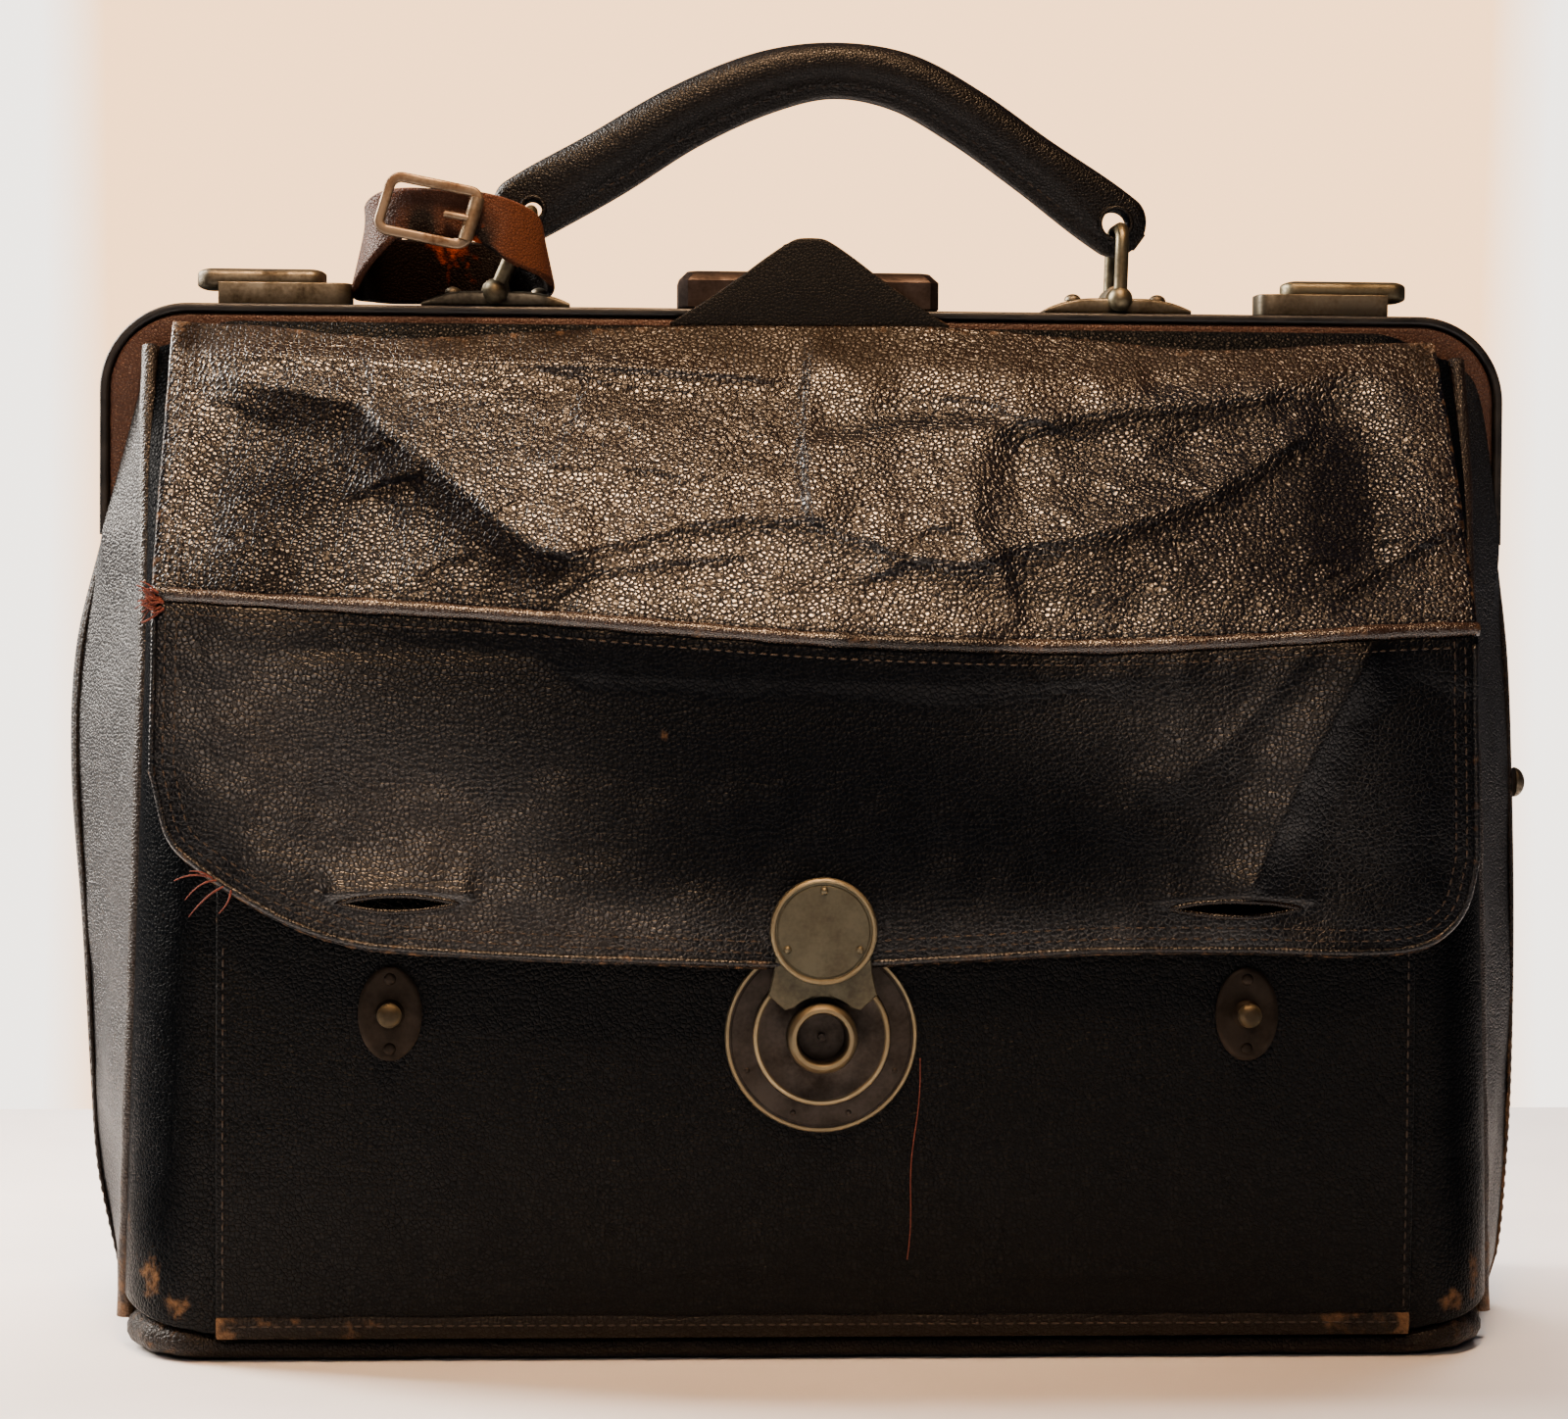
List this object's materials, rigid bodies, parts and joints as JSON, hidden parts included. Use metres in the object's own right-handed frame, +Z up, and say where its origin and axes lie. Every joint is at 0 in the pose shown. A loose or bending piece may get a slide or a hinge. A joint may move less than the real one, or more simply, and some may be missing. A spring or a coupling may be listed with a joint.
{
  "type": "travel bag",
  "caption": "Leather frame travel bag with a crumpled front flap, hasp lock, sliding frame catches, rolled handle on shackles and a small buckled strap.",
  "frame": {"origin": "middle of the base on the floor", "axes": "+X to the right along the mouth frame, +Y from the flap to the back, +Z up"},
  "size_m": [0.4243, 0.168, 0.368],
  "materials": {
    "body_leather": "fine-grained black leather, satin",
    "gusset_leather": "smooth black leather, satin",
    "welt_leather": "worn black-brown leather cord",
    "worn_leather": "black leather worn through to brown",
    "flap_leather": "heavily pebbled black-brown leather",
    "frame_leather": "thin red-brown leather, rubbed",
    "handle_leather": "polished dark brown-black leather",
    "strap_leather": "maroon-brown strap leather",
    "black_rail": "black lacquer",
    "dark_steel": "tarnished steel",
    "nickel": "tarnished nickel plate",
    "brass": "dark tarnished brass"
  },
  "bodies": {
    "bag": {"front_panel": "body_leather", "back_panel": "body_leather", "gusset_left": "gusset_leather", "gusset_right": "gusset_leather", "base_panel": "body_leather", "base_welt": "welt_leather", "welt_front_left": "welt_leather", "welt_front_right": "welt_leather", "welt_back_left": "welt_leather", "welt_back_right": "welt_leather", "pocket_panel": "body_leather", "pocket_binding": "worn_leather", "flap_upper": "flap_leather", "flap_bead": "flap_leather", "flap_lower": "flap_leather", "frame_front": "frame_leather", "frame_back": "frame_leather", "rail_front": "black_rail", "rail_back": "black_rail", "lock_case": "dark_steel", "lock_knob": "dark_steel", "pull_tab": "body_leather", "catch_base_left": "nickel", "catch_base_right": "brass", "ring_plate_left": "nickel", "ring_plate_right": "nickel", "shackle_left": "brass", "shackle_right": "brass", "handle": "handle_leather", "label_strap": "strap_leather", "label_buckle": "nickel", "lock_plate": "brass", "hasp_fork": "brass", "hasp_disc": "brass", "stud_plate_left": "brass", "stud_plate_right": "brass", "side_stud": "nickel"},
    "catch_left": {"catch_slide_left": "nickel"},
    "catch_right": {"catch_slide_right": "brass"}
  },
  "joints": [
    {"name": "catch_left_slide", "type": "slide", "parent": "bag", "child": "catch_left", "axis": [1, 0, 0], "range_m": [0, 0.005]},
    {"name": "catch_right_slide", "type": "slide", "parent": "bag", "child": "catch_right", "axis": [-1, 0, 0], "range_m": [0, 0.005]}
  ]
}
